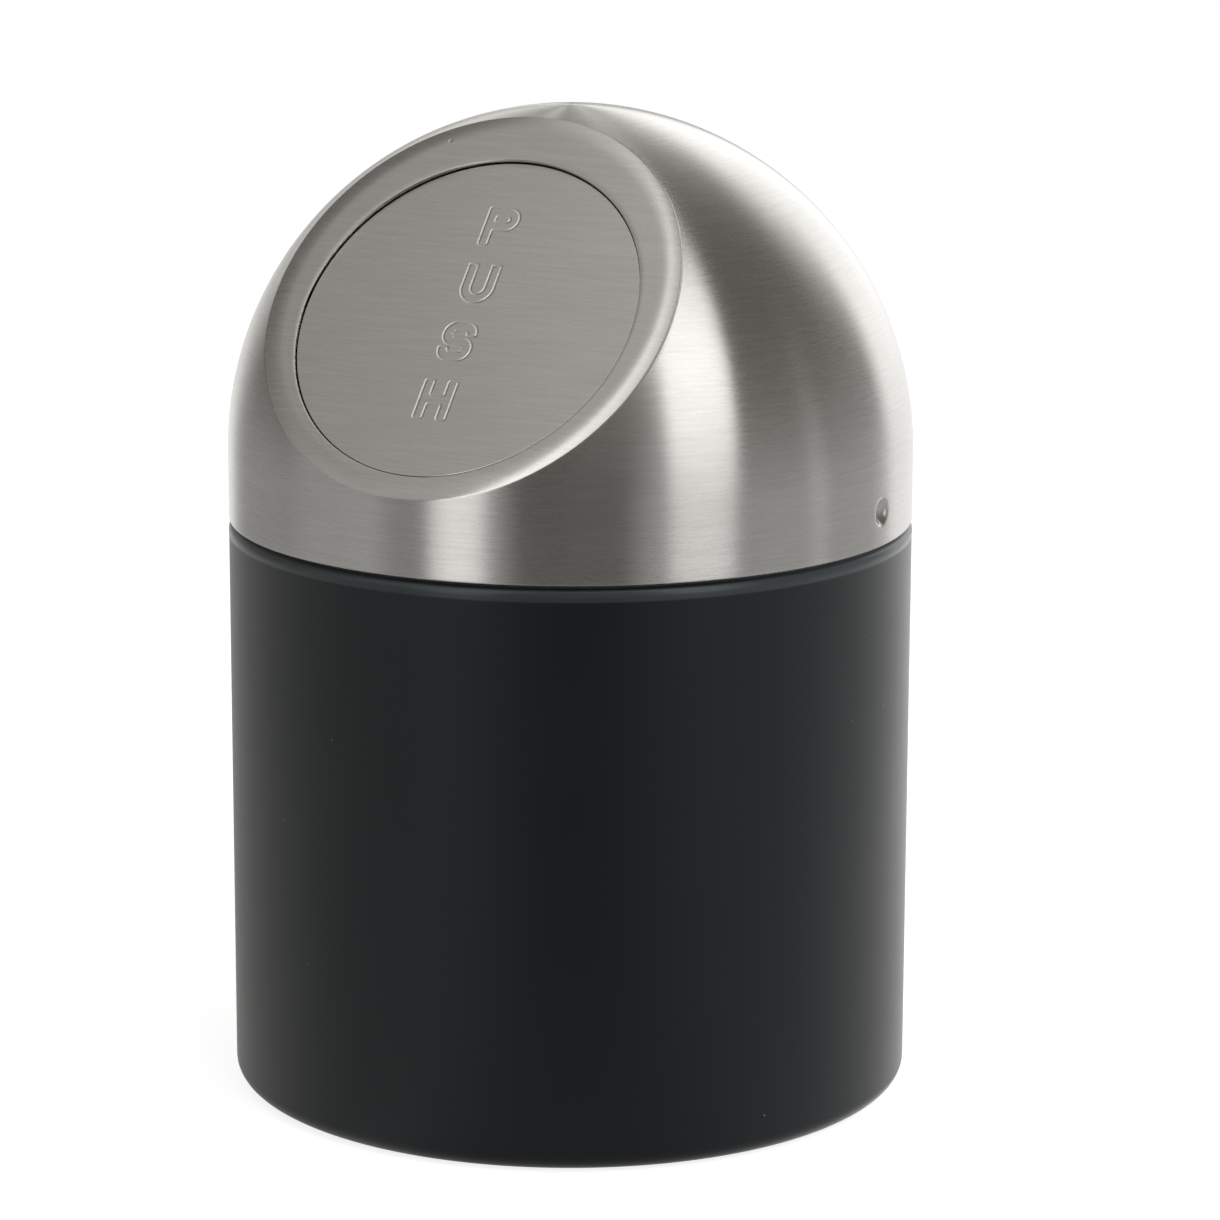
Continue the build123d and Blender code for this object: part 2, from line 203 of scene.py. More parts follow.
class StageSizes(bpy.types.PropertyGroup):
    """Camera, floor and lamps."""

    azimuth: angle("Azimuth", "Camera's place round the bin, from the flap's side", 28.05)
    distance: length("Distance", "Camera from the bin's axis, along the floor", 793.9)
    height: length("Height", "Camera above the floor", 265.3)
    pitch: angle("Pitch", "How far the camera looks down", 12.868)
    yaw: angle("Yaw", "How far the camera looks aside", -0.504)
    roll: angle("Roll", "How far the camera leans", 0.2)
    lens: FloatProperty(
        name="Lens", description="Focal length in millimetres for a 36 mm sensor", default=135.775
    )
    lamp_aim: length("Lamp Aim", "Height of the spot that the lamps face", 90.0)
    floor_radius: length("Floor Radius", "Radius of the floor", 4000.0)
    level: share("Level", "Even dim light from all round", 0.14, 4.0)
    dim_tone: tone("Dim Tone", "Colour of the even dim light", (1.0, 0.93, 0.83))
    white: share("White", "How bright the backdrop shows", 1.0, 4.0)
    floor_tone: share("Floor Tone", "How pale the floor is", 0.4)
    floor_glow: share("Floor Glow", "Brightness that the floor shows of its own", 0.82, 4.0)
    floor_mirror: share("Floor Mirror", "How bright reflections show the floor", 0.42, 4.0)


GROUPS = (
    ("bin_can", CanSizes),
    ("bin_lid", LidSizes),
    ("bin_flap", FlapSizes),
    ("bin_works", WorksSizes),
    ("bin_finish", Finishes),
    ("bin_stage", StageSizes),
)


# ---- node helpers
# Places of a Mix node's colour sockets
COLOUR_A, COLOUR_B, MIXED_COLOUR = 6, 7, 2


def fill(tree, node, inputs):
    """Link a node's inputs to other sockets, or set them to plain values."""
    for name, value in inputs.items():
        socket = node.inputs[name]
        if isinstance(value, bpy.types.NodeSocket):
            tree.links.new(value, socket)
        else:
            socket.default_value = value


def put(tree, kind, inputs=None, **attributes):
    """A node with its attributes set and its inputs linked or filled in."""
    made = tree.nodes.new(kind)
    for name, value in attributes.items():
        setattr(made, name, value)
    fill(tree, made, inputs or {})
    return made


def result(tree, kind, inputs=None, **attributes):
    """The first output of such a node."""
    return put(tree, kind, inputs, **attributes).outputs[0]


def maths(tree, operation, first, second=0.0):
    """What a sum of one or two numbers or sockets comes to."""
    return result(tree, "ShaderNodeMath", {0: first, 1: second}, operation=operation)


def stretched(tree, place, cells):
    """Coordinates scaled by axis, so that a pattern has so many cells a metre along each."""
    return result(tree, "ShaderNodeVectorMath", {0: place, 1: cells}, operation="MULTIPLY")


def remap(tree, value, low, high, to_low=0.0, to_high=1.0, smooth=False):
    """Carry a value from one range to another, held at both ends."""
    kind = "SMOOTHSTEP" if smooth else "LINEAR"
    ends = {"From Min": low, "From Max": high, "To Min": to_low, "To Max": to_high}
    return result(tree, "ShaderNodeMapRange", {"Value": value, **ends}, interpolation_type=kind)


def noise(tree, where, scale=1.0, detail=2.0, roughness=0.5):
    """Cloudy noise with so many cells a metre."""
    values = {"Vector": where, "Scale": scale, "Detail": detail, "Roughness": roughness}
    return put(tree, "ShaderNodeTexNoise", values).outputs["Fac"]


def blend_colour(tree, share_socket, first, second):
    """From one colour to another, each a socket or plain red, green and blue."""
    made = put(tree, "ShaderNodeMix", {"Factor": share_socket}, data_type="RGBA")
    for index, value in ((COLOUR_A, first), (COLOUR_B, second)):
        plain = not isinstance(value, bpy.types.NodeSocket)
        fill(tree, made, {index: (*value, 1.0) if plain else value})
    return made.outputs[MIXED_COLOUR]


def new_material(name):
    """An empty material with its Principled shader and the piece's own coordinates."""
    material = bpy.data.materials.new(name)
    material.use_nodes = True
    tree = material.node_tree
    tree.nodes.clear()
    shader = put(tree, "ShaderNodeBsdfPrincipled")
    put(tree, "ShaderNodeOutputMaterial", {"Surface": shader.outputs[0]}, is_active_output=True)
    place = put(tree, "ShaderNodeTexCoord").outputs["Object"]
    return material, tree, shader, place


def bump(tree, height, distance):
    """A normal for fine relief, which stands so far out where its height is one."""
    values = {"Height": height, "Distance": distance, "Strength": 1.0}
    return result(tree, "ShaderNodeBump", values)


# ---- finishes
GRAIN = "brush_height"
UV = "brush_uv"
# Cells a metre along each axis of the patterns that are drawn out into lines
BROAD_LINES = (90, 90, 2200)
FINE_LINES = (320, 320, 6500)
WIRE_LINES = (400, 6000, 6000)
BROAD_SHARE = 0.6
BRUSH_DEPTH = 0.005 * MM
MARK_INNER = 0.1 * MM
MARK_OUTER = 0.6 * MM
MARK_DEPTHS = 6.0  # a mark's depth, in depths of the brush lines
PEEL_DEPTH = 0.004 * MM
WIRE_DEPTH = 0.004 * MM
BAND_EDGE = 0.2 * MM
# Specks of dust: their size in cells, the share of cells with none, and their strength
SPECK_RADIUS, SPECK_EDGE = 0.02, 0.035
CLEAN_SHARE = 0.82
DUST_STRENGTH = 0.8


def darker(colour, part):
    """A colour brought down to a part of its brightness."""
    return tuple(part * value for value in colour)


def around(tree, value, low, high, middle, spread):
    """Carry a value from its range to one of so much to either side of a middle."""
    return remap(tree, value, low, high, middle - spread, middle + spread)


def brushed_steel(name, finish, marks=()):
    """Stainless sheet brushed along level lines, with a small sunk mark at each spot given."""
    material, tree, shader, place = new_material(name)
    across = put(tree, "ShaderNodeAttribute", attribute_name=GRAIN).outputs["Fac"]
    split = put(tree, "ShaderNodeSeparateXYZ", {0: place}).outputs
    grain = result(tree, "ShaderNodeCombineXYZ", {0: split[0], 1: split[1], 2: across})
    broad = noise(tree, stretched(tree, grain, BROAD_LINES), detail=3.0, roughness=0.6)
    fine = noise(tree, stretched(tree, grain, FINE_LINES), detail=2.0, roughness=0.6)
    cloud = noise(tree, place, scale=28.0, detail=3.0)
    broad_part = maths(tree, "MULTIPLY", broad, BROAD_SHARE)
    lines = maths(tree, "ADD", broad_part, maths(tree, "MULTIPLY", fine, 1.0 - BROAD_SHARE))
    dull = around(tree, maths(tree, "ADD", fine, cloud), 0.7, 1.3, 1.0, 0.15)
    height = lines
    for spot in marks:
        values = {0: place, 1: spot}
        away = put(tree, "ShaderNodeVectorMath", values, operation="DISTANCE").outputs["Value"]
        sunk = remap(tree, away, MARK_INNER, MARK_OUTER, -MARK_DEPTHS, 0.0, smooth=True)
        height = maths(tree, "ADD", height, sunk)
    colour = blend_colour(tree, remap(tree, lines, 0.36, 0.64), finish.steel, finish.steel_light)
    values = {
        "Base Color": colour,
        "Roughness": maths(tree, "MULTIPLY", dull, finish.steel_rough),
        "Metallic": 1.0,
        "Anisotropic": finish.steel_grain,
        "Tangent": result(tree, "ShaderNodeTangent", direction_type="UV_MAP", uv_map=UV),
        "Normal": bump(tree, height, BRUSH_DEPTH),
    }
    fill(tree, shader, values)
    return material


def black_paint(finish, band_low, band_high):
    """Dull black coat, glossier on the bead and painted paler there as a painted highlight, with orange
    peel and a few specks of dust.
    """
    material, tree, shader, place = new_material("black_paint")
    peel = noise(tree, place, scale=900.0)
    cloud = noise(tree, place, scale=35.0)
    cells = put(tree, "ShaderNodeTexVoronoi", {"Vector": place, "Scale": 150.0}).outputs
    speck = remap(tree, cells["Distance"], SPECK_RADIUS, SPECK_EDGE, 1.0, 0.0)
    chosen = result(tree, "ShaderNodeSeparateColor", {0: cells["Color"]})
    few = maths(tree, "GREATER_THAN", chosen, CLEAN_SHARE)
    dust = maths(tree, "MULTIPLY", maths(tree, "MULTIPLY", speck, few), DUST_STRENGTH)
    height = put(tree, "ShaderNodeSeparateXYZ", {0: place}).outputs[2]
    over_foot = remap(tree, height, band_low - BAND_EDGE, band_low + BAND_EDGE)
    under_lid = remap(tree, height, band_high - BAND_EDGE, band_high + BAND_EDGE, 1.0, 0.0)
    # On the bead: a glossier coat, and paler paint as a painted highlight, which fades out just under
    # the lid so that the shadow there stays black
    bead_gloss_and_highlight = maths(tree, "MULTIPLY", over_foot, under_lid)
    tint = remap(tree, cloud, 0.35, 0.65)
    base = blend_colour(tree, tint, darker(finish.paint, 0.8), finish.paint)
    base = blend_colour(tree, bead_gloss_and_highlight, base, finish.bead_painted_highlight)
    rough = around(tree, cloud, 0.3, 0.7, finish.paint_rough, 0.03)
    glossier = maths(tree, "MULTIPLY", bead_gloss_and_highlight, finish.paint_rough - finish.band_rough)
    values = {
        "Base Color": blend_colour(tree, dust, base, finish.paint_dust),
        "Roughness": maths(tree, "SUBTRACT", rough, glossier),
        "Specular IOR Level": finish.paint_gloss,
        "Sheen Weight": finish.paint_sheen,
        "Sheen Roughness": finish.sheen_rough,
        "Normal": bump(tree, peel, PEEL_DEPTH),
    }
    fill(tree, shader, values)
    return material


def moulded(name, colour, roughness, grain=1500.0, depth=0.01 * MM):
    """Moulded plastic, rubber or foam with a fine textured skin."""
    material, tree, shader, place = new_material(name)
    skin = noise(tree, place, scale=grain, detail=3.0, roughness=0.6)
    tint = remap(tree, noise(tree, place, scale=60.0), 0.3, 0.7)
    values = {
        "Base Color": blend_colour(tree, tint, darker(colour, 0.75), colour),
        "Roughness": around(tree, skin, 0.3, 0.7, roughness, 0.06),
        "Normal": bump(tree, skin, depth),
    }
    fill(tree, shader, values)
    return material


def drawn_wire(finish):
    """Bright drawn steel with fine lines and a trace of oil."""
    material, tree, shader, place = new_material("drawn_wire")
    lines = noise(tree, stretched(tree, place, WIRE_LINES))
    stain = remap(tree, noise(tree, place, scale=250.0, detail=3.0), 0.35, 0.7)
    values = {
        "Base Color": blend_colour(tree, stain, darker(finish.wire, 0.55), finish.wire),
        "Roughness": around(tree, lines, 0.3, 0.7, 0.3, 0.08),
        "Metallic": 1.0,
        "Normal": bump(tree, lines, WIRE_DEPTH),
    }
    fill(tree, shader, values)
    return material


# ---- mesh helpers
# Steps in a rounded corner and in an arc, and how near points are that become one
CORNER_STEPS = 7
ARC_STEPS = 6
WELD = 1e-6
SAME_POINT = 1e-8


def add_object(name, data):
    """A new object in the scene."""
    made = bpy.data.objects.new(name, data)
    bpy.context.scene.collection.objects.link(made)
    return made


def shade_smooth(mesh, smooth=True):
    mesh.polygons.foreach_set("use_smooth", [smooth] * len(mesh.polygons))


def new_piece(name, vertices, faces, material, smooth=True):
    """A plain mesh object at the origin, with its place in its points."""
    mesh = bpy.data.meshes.new(name)
    mesh.from_pydata([tuple(v) for v in vertices], [], [tuple(int(i) for i in f) for f in faces])
    mesh.validate()
    mesh.materials.append(material)
    shade_smooth(mesh, smooth)
    return add_object(name, mesh)


def corner_points(mesh):
    """The index of the point at each corner of each face."""
    return np.array([corner.vertex_index for corner in mesh.loops])


def lay_brush_lines(mesh, across, along):
    """Keep how far each point is across the lines, and a UV with U across them and V along."""
    grain = mesh.attributes.new(GRAIN, "FLOAT", "POINT")
    grain.data.foreach_set("value", across.astype(np.float32))
    layer = mesh.uv_layers.new(name=UV)
    values = np.column_stack((across[corner_points(mesh)], along)).astype(np.float32)
    layer.data.foreach_set("uv", values.reshape(-1))


def face_outwards(mesh):
    """Turn the faces of a closed mesh outwards."""
    work = bmesh.new()
    work.from_mesh(mesh)
    bmesh.ops.remove_doubles(work, verts=work.verts, dist=SAME_POINT)
    bmesh.ops.recalc_face_normals(work, faces=work.faces)
    work.to_mesh(mesh)
    work.free()
    mesh.update()


def settle(piece, body, slot, *nodes):
    """Put a piece on its body, in place of the nodes named; the material slot given is not used."""
    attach(piece, body)
    if nodes:
        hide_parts(*nodes)


def wrapped_rows(rows, columns):
    """Faces of a grid that closes on itself both ways."""
    faces = []
    for row in range(rows):
        above = (row + 1) % rows * columns
        here = row * columns
        for column in range(columns):
            beside = (column + 1) % columns
            faces.append((here + column, here + beside, above + beside, above + column))
    return faces


def arc_points(centre, radius, start, end, steps=ARC_STEPS):
    """Points on an arc in the (radius, height) plane, angles in radians from the radius axis."""
    return [
        (centre[0] + radius * cos(a), centre[1] + radius * sin(a))
        for a in np.linspace(start, end, steps + 1)
    ]


def circles_meet(centre, radius, other_radius):
    """Upper crossing of a circle with one about the origin."""
    away = hypot(*centre)
    along = (away**2 + other_radius**2 - radius**2) / (2 * away)
    aside = sqrt(other_radius**2 - along**2)
    unit = (centre[0] / away, centre[1] / away)
    return along * unit[0] - aside * unit[1], along * unit[1] + aside * unit[0]


# ---- node trees of the shapes
def group_tree(name, inputs, output):
    """A Geometry Nodes tree with its named inputs and its one output, and the inputs' sockets."""
    tree = bpy.data.node_groups.new(name, "GeometryNodeTree")
    for label, kind in inputs.items():
        tree.interface.new_socket(label, in_out="INPUT", socket_type="NodeSocket" + kind)
    tree.interface.new_socket(output, in_out="OUTPUT", socket_type="NodeSocketGeometry")
    return tree, put(tree, "NodeGroupInput").outputs


def finish_tree(tree, geometry, material, output):
    """Make the geometry real, coat it and hand it to the tree's output."""
    real = result(tree, "GeometryNodeRealizeInstances", {"Geometry": geometry})
    coated = result(tree, "GeometryNodeSetMaterial", {"Geometry": real, "Material": material})
    put(tree, "NodeGroupOutput", {output: coated})
    return tree


def lathe_tree():
    """Geometry Nodes: round the corners of a section and turn it about the Z axis."""
    inputs = {
        "Section": "Geometry",
        "Turning Radius": "Float",
        "Turn Steps": "Int",
        "Corner Steps": "Int",
        "Weld Distance": "Float",
        "Material": "Material",
    }
    tree, given = group_tree("turned_shell", inputs, "Shell")
    corner = result(tree, "GeometryNodeInputRadius")
    values = {"Curve": given["Section"], "Count": given["Corner Steps"], "Radius": corner}
    rounded = result(tree, "GeometryNodeFilletCurve", values, mode="POLY")
    inwards = maths(tree, "SUBTRACT", 0.0, given["Turning Radius"])
    aside = result(tree, "ShaderNodeCombineXYZ", {0: inwards})
    values = {"Geometry": rounded, "Translation": aside, "Rotation": (pi, 0.0, 0.0)}
    placed = result(tree, "GeometryNodeTransform", values)
    values = {"Resolution": given["Turn Steps"], "Radius": given["Turning Radius"]}
    circle = result(tree, "GeometryNodeCurvePrimitiveCircle", values)
    upright = result(tree, "GeometryNodeSetCurveNormal", {"Curve": circle}, mode="Z_UP")
    values = {"Curve": upright, "Profile Curve": placed}
    turned = result(tree, "GeometryNodeCurveToMesh", values)
    values = {"Geometry": turned, "Distance": given["Weld Distance"]}
    welded = result(tree, "GeometryNodeMergeByDistance", values)
    return finish_tree(tree, welded, given["Material"], "Shell")


def wire_tree():
    """Geometry Nodes: a round wire that follows a path."""
    inputs = {
        "Path": "Geometry",
        "Wire Radius": "Float",
        "Wire Steps": "Int",
        "Material": "Material",
    }
    tree, given = group_tree("bent_wire", inputs, "Wire")
    values = {"Resolution": given["Wire Steps"], "Radius": given["Wire Radius"]}
    ring = result(tree, "GeometryNodeCurvePrimitiveCircle", values)
    values = {"Curve": given["Path"], "Profile Curve": ring, "Fill Caps": True}
    swept = result(tree, "GeometryNodeCurveToMesh", values)
    return finish_tree(tree, swept, given["Material"], "Wire")


def plain_curve(name, places, corners=()):
    """Straight runs between places; given a rounding for each corner, they close into a section."""
    curve = bpy.data.curves.new(name, "CURVE")
    curve.dimensions = "3D"
    spline = curve.splines.new("POLY")
    spline.points.add(len(places) - 1)
    for point, place in zip(spline.points, places):
        point.co = (*place, 1.0)
    for point, corner in zip(spline.points, corners):
        point.radius = corner
    spline.use_cyclic_u = bool(corners)
    return curve


def baked_piece(name, curve, tree, values):
    """Run a node tree on a curve and keep what it makes as a plain mesh."""
    source = add_object(name + "_source", curve)
    modifier = source.modifiers.new(tree.name, "NODES")
    modifier.node_group = tree
    for item in tree.interface.items_tree:
        if item.name in values:
            modifier[item.identifier] = values[item.name]
    shown = bpy.context.evaluated_depsgraph_get()
    mesh = bpy.data.meshes.new_from_object(source.evaluated_get(shown))
    mesh.name = name
    bpy.data.objects.remove(source)
    bpy.data.curves.remove(curve)
    face_outwards(mesh)
    shade_smooth(mesh)
    return add_object(name, mesh)


def turned_piece(name, section, radius, steps, material):
    """A closed section of (radius, height, corner) points, turned into a plain mesh."""
    places = [(across, height, 0.0) for across, height, _ in section]
    curve = plain_curve(name + "_section", places, [corner for *_, corner in section])
    tree = bpy.data.node_groups.get("turned_shell") or lathe_tree()
    values = {
        "Turning Radius": radius,
        "Turn Steps": steps,
        "Corner Steps": CORNER_STEPS,
        "Weld Distance": WELD,
        "Material": material,
    }
    return baked_piece(name, curve, tree, values)


def wire_piece(name, path, works, material):
    """A wire along the points of a path, as a plain mesh."""
    curve = plain_curve(name + "_path", path)
    tree = bpy.data.node_groups.get("bent_wire") or wire_tree()
    values = {
        "Wire Radius": works.spring_wire / 2,
        "Wire Steps": works.wire_steps,
        "Material": material,
    }
    return baked_piece(name, curve, tree, values)


def walled_section(outside, wall):
    """Close an open outline of (radius, height, corner) points with a parallel inner one."""
    inner = []
    last = len(outside) - 1
    for i, (x, z, corner) in enumerate(outside):
        before = outside[max(i - 1, 0)]
        after = outside[min(i + 1, last)]
        a = Vector((x - before[0], z - before[1])) if i else None
        b = Vector((after[0] - x, after[1] - z)) if i < last else None
        a = (a or b).normalized()
        b = (b or a).normalized()
        normal_a = Vector((-a.y, a.x))
        normal_b = Vector((-b.y, b.x))
        middle = (normal_a + normal_b).normalized()
        away = wall / middle.dot(normal_a)
        turn = a.x * b.y - a.y * b.x
        inner_corner = corner - wall if turn > 0 else corner + wall
        inner.append((x + middle.x * away, z + middle.y * away, max(inner_corner, 0.0)))
    return list(outside) + inner[::-1]


# ---- can
class BIN_OT_can(bpy.types.Operator):
    """Turn the painted can from its section"""

    bl_idname = "push_bin.can"
    bl_label = "Build Can"

    def execute(self, context):
        size = context.scene.bin_can
        radius = DOME_RADIUS
        foot = CAN_LOW.z
        top = CAN_HIGH.z
        shoulder = top - size.neck_height
        bead = shoulder - size.bead_height
        recess = radius - size.standing_rim
        neck = radius - size.neck_inset
        curl = neck - size.curl_width
        proud = radius + size.bead_proud
        ramp = size.bead_ramp
        outside = [
            (0.0, foot + size.base_rise, 0.0),
            (recess - size.base_rise, foot + size.base_rise, size.base_corner),
            (recess, foot, size.base_corner),
            (radius, foot, size.foot_corner),
            (radius, bead - ramp, ramp),
            (proud, bead, ramp / 2),
            (proud, shoulder, size.shoulder_corner),
            (neck, shoulder, size.neck_corner),
            (neck, top, size.curl_corner),
            (curl, top, size.curl_corner),
            (curl, top - size.curl_drop, 0.0),
        ]
        section = walled_section(outside, size.wall)
        finish = context.scene.bin_finish
        # The bead between these heights gets a glossier coat and a painted highlight
        paint = black_paint(finish, bead - ramp, shoulder - size.bead_height / 4)
        piece = turned_piece("can_shell", section, radius, size.turn_steps, paint)
        settle(piece, "can", "can_paint", "can_body")
        return {"FINISHED"}


# ---- dome lid
class Facet:
    """The slanted facet's own directions and the circles that shape it."""

    def __init__(self, lid, flap):
        self.tilt = lid.tilt
        self.origin = Vector((0.0, 0.0, DOME_CENTRE_Z))
        self.right = Vector((1.0, 0.0, 0.0))
        self.up = Vector((0.0, sin(lid.tilt), cos(lid.tilt)))
        self.normal = Vector((0.0, -cos(lid.tilt), sin(lid.tilt)))
        rim_angle = lid.tilt - asin(lid.rim_rise / DOME_RADIUS)
        rim = DOME_RADIUS * sin(rim_angle)
        self.face = DOME_RADIUS * cos(rim_angle) + lid.roll_drop
        self.roll_start = rim - lid.roll_width
        self.roll_radius = lid.roll_width / sin(2 * atan(lid.roll_drop / lid.roll_width))
        self.hole_y = -lid.hole_offset
        self.hole = rim - lid.hole_offset - lid.ring_width
        self.flap_face = self.face - flap.recess
        self.flap_radius = self.hole - flap.gap
        self.flap_y = self.hole_y - flap.drop

    def place(self, x, y, height):
        """A point given to the right, up the facet and out from it."""
        return self.origin + self.right * x + self.up * y + self.normal * height


# Rows of points over the dents, the ball, its inside, the roll, the ring and the rest
DENT_STEPS = 31
BALL_STEPS = 100
INNER_BALL_STEPS = 50
ROLL_STEPS = 10
RING_STEPS = 5
FEW_STEPS = 4
HALF_WAY = 0.5


def dent_reach(lid):
    """Half the width of the part of the skirt that is meshed finely for a dent."""
    return lid.dimple_radius * 1.5


def facet_columns(lid):
    """Angles round the facet's normal, closer together where the dents are."""
    reach = dent_reach(lid) / DOME_RADIUS * sin(lid.tilt)
    angles = list(np.linspace(0, 2 * pi, lid.turn_steps, endpoint=False))
    for middle in (pi / 2, 3 * pi / 2):
        angles = [a for a in angles if abs(a - middle) > reach]
        angles += list(np.linspace(middle - reach, middle + reach, DENT_STEPS))
    return np.array(sorted(angles))


def dent(lid, x, z):
    """How far the skirt is pressed in, near the middle of either side."""
    ball = (lid.dimple_radius**2 + lid.dimple_depth**2) / (2 * lid.dimple_depth)
    away = np.hypot(x, z)
    inside = np.sqrt(np.maximum(ball**2 - away**2, 0.0)) - (ball - lid.dimple_depth)
    slope = lid.dimple_radius / (ball - lid.dimple_depth)
    depth = np.where(away < lid.dimple_radius, inside, (lid.dimple_radius - away) * slope)
    return 0.5 * (depth + np.sqrt(depth**2 + lid.dimple_blend**2))


class BIN_OT_lid(bpy.types.Operator):
    """Build the brushed dome with its facet, turned-in hole and dents"""

    bl_idname = "push_bin.lid"
    bl_label = "Build Lid"

    def execute(self, context):
        lid = context.scene.bin_lid
        facet = Facet(lid, context.scene.bin_flap)
        rows, across, flat_rows = lid_rows(lid, facet)
        count, columns = across.shape
        marks = [facet.place(-lid.mark_aside, lid.mark_up, facet.face)]
        steel = brushed_steel("brushed_lid", context.scene.bin_finish, marks)
        faces = wrapped_rows(count, columns)
        piece = new_piece("lid_shell", rows.reshape(-1, 3), faces, steel)
        along = along_lines(piece.data, np.repeat(flat_rows, columns))
        lay_brush_lines(piece.data, across.reshape(-1), along)
        settle(piece, "lid", "lid_steel", "lid_dome")
        return {"FINISHED"}


def lid_rows(lid, facet):
    """Rows of points from the hole's lip over the outside to the hem and back inside."""
    psi = facet_columns(lid)
    sine, cosine = np.sin(psi), np.cos(psi)
    rows, across, flat = [], [], []

    def level_row(x, y, height):
        """Points at one height over the facet, whose brush lines run along x."""
        rows.append(np.array([facet.place(a, b, height) for a, b in zip(x, y)]))
        across.append(y)
        flat.append(True)

    def facet_row(radius, height, centre_y=0.0):
        """A circle over the facet."""
        level_row(radius * sine, centre_y + radius * cosine, height)

    def blend_row(part, inner_radius, height):
        """Between the hole's circle and the one where the roll starts."""
        x = (inner_radius * (1 - part) + facet.roll_start * part) * sine
        inner_y = facet.hole_y + inner_radius * cosine
        level_row(x, inner_y * (1 - part) + facet.roll_start * cosine * part, height)

    end = np.arctan2(sin(facet.tilt), -cosine * cos(facet.tilt))
    ring_x = np.sin(end) * sine
    ring_y = np.sin(end) * cosine * sin(facet.tilt) - np.cos(end) * cos(facet.tilt)
    dimple_z = LID_LOW.z + lid.dimple_rise

    def ball_row(part, start_angle, radius):
        """Along the great circles from the facet's rim to the top of the skirt."""
        phi = start_angle + (end - start_angle) * part
        x = radius * np.sin(phi) * sine
        y = radius * np.sin(phi) * cosine
        height = radius * np.cos(phi)
        points = np.array([facet.place(a, b, c) for a, b, c in zip(x, y, height)])
        rows.append(points)
        rise = np.clip((points[:, 2] - DOME_CENTRE_Z) / radius, -1, 1)
        across.append(DOME_RADIUS * np.arcsin(rise))
        flat.append(False)

    def skirt_row(z, radius):
        """A level circle of the skirt, pressed in at the dents."""
        side = np.abs(ring_x) > HALF_WAY
        pressed = np.where(side, dent(lid, ring_y * DOME_RADIUS, z - dimple_z), 0.0)
        out = radius - pressed
        rows.append(np.column_stack((ring_x * out, ring_y * out, np.full(len(psi), z))))
        across.append(np.full(len(psi), z - DOME_CENTRE_Z))
        flat.append(False)

    face, under = facet.face, facet.face - lid.sheet
    lip_low = face - lid.lip_depth
    for height in np.linspace(lip_low, face - lid.lip_round, FEW_STEPS):
        facet_row(facet.hole, height, facet.hole_y)
    lip_centre = (facet.hole + lid.lip_round, face - lid.lip_round)
    for radius, height in arc_points(lip_centre, lid.lip_round, pi, pi / 2)[1:]:
        facet_row(radius, height, facet.hole_y)
    for part in np.linspace(0, 1, RING_STEPS + 1)[1:]:
        blend_row(part, facet.hole + lid.lip_round, face)
    roll_centre = (facet.roll_start, face - facet.roll_radius)
    middle = circles_meet(roll_centre, facet.roll_radius - lid.crease, DOME_RADIUS - lid.crease)
    roll_turn = atan2(middle[1] - roll_centre[1], middle[0] - roll_centre[0])
    ball_turn = atan2(middle[1], middle[0])
    roll = arc_points(roll_centre, facet.roll_radius, pi / 2, roll_turn, ROLL_STEPS)
    for radius, height in roll[1:]:
        facet_row(radius, height)
    for radius, height in arc_points(middle, lid.crease, roll_turn, ball_turn)[1:]:
        facet_row(radius, height)
    ball_start = pi / 2 - ball_turn
    for part in np.linspace(0, 1, BALL_STEPS)[1:]:
        ball_row(part, ball_start, DOME_RADIUS)
    reach = dent_reach(lid)
    hem_top = LID_LOW.z + lid.hem
    levels = list(np.linspace(DOME_CENTRE_Z, dimple_z + reach, FEW_STEPS)[1:])
    levels += list(np.linspace(dimple_z + reach, dimple_z - reach, DENT_STEPS)[1:])
    levels += list(np.linspace(dimple_z - reach, hem_top, FEW_STEPS)[1:])
    for z in levels:
        skirt_row(z, DOME_RADIUS)
    for radius, z in arc_points((DOME_RADIUS - lid.hem, hem_top), lid.hem, 0, -pi / 2)[1:]:
        skirt_row(z, radius)
    inner_radius = DOME_RADIUS - lid.sheet
    skirt_row(LID_LOW.z, inner_radius)
    above_hem = LID_LOW.z + 0.5 * MM
    for z in [above_hem, *levels[::-1][1::2]]:
        skirt_row(z, inner_radius)
    inner_roll = facet.roll_radius - lid.sheet
    inner_meet = circles_meet(roll_centre, inner_roll, inner_radius)
    inner_start = pi / 2 - atan2(inner_meet[1], inner_meet[0])
    for part in np.linspace(1, 0, INNER_BALL_STEPS + 1):
        ball_row(part, inner_start, inner_radius)
    inner_turn = atan2(inner_meet[1] - roll_centre[1], inner_meet[0] - roll_centre[0])
    for radius, height in arc_points(roll_centre, inner_roll, inner_turn, pi / 2, RING_STEPS)[1:]:
        facet_row(radius, height)
    for part in np.linspace(1, 0, FEW_STEPS)[1:]:
        blend_row(part, facet.hole + lid.sheet, under)
    facet_row(facet.hole + lid.sheet, lip_low, facet.hole_y)
    return np.array(rows), np.array(across), np.array(flat)


def along_lines(mesh, flat):
    """How far each corner of each face is along the brush lines, straight on the facet."""
    points = np.array([v.co for v in mesh.vertices])
    corners = corner_points(mesh)
    totals = np.array([face.loop_total for face in mesh.polygons])
    owner = np.repeat(np.arange(len(totals)), totals)
    turn = np.arctan2(points[:, 0], -points[:, 1])
    corner_x, corner_y = points[corners, 0], points[corners, 1]
    middle_x = np.bincount(owner, corner_x) / totals
    middle_y = np.bincount(owner, corner_y) / totals
    face_turn = np.arctan2(middle_x, -middle_y)[owner]
    offset = (turn[corners] - face_turn + pi) % (2 * pi) - pi
    on_axis = np.hypot(corner_x, corner_y) < 0.01 * MM
    offset[on_axis] = 0.0
    along = (face_turn + offset) * DOME_RADIUS
    all_flat = 0.99
    on_facet = (np.bincount(owner, flat[corners]) / totals > all_flat)[owner]
    return np.where(on_facet, corner_x, along)


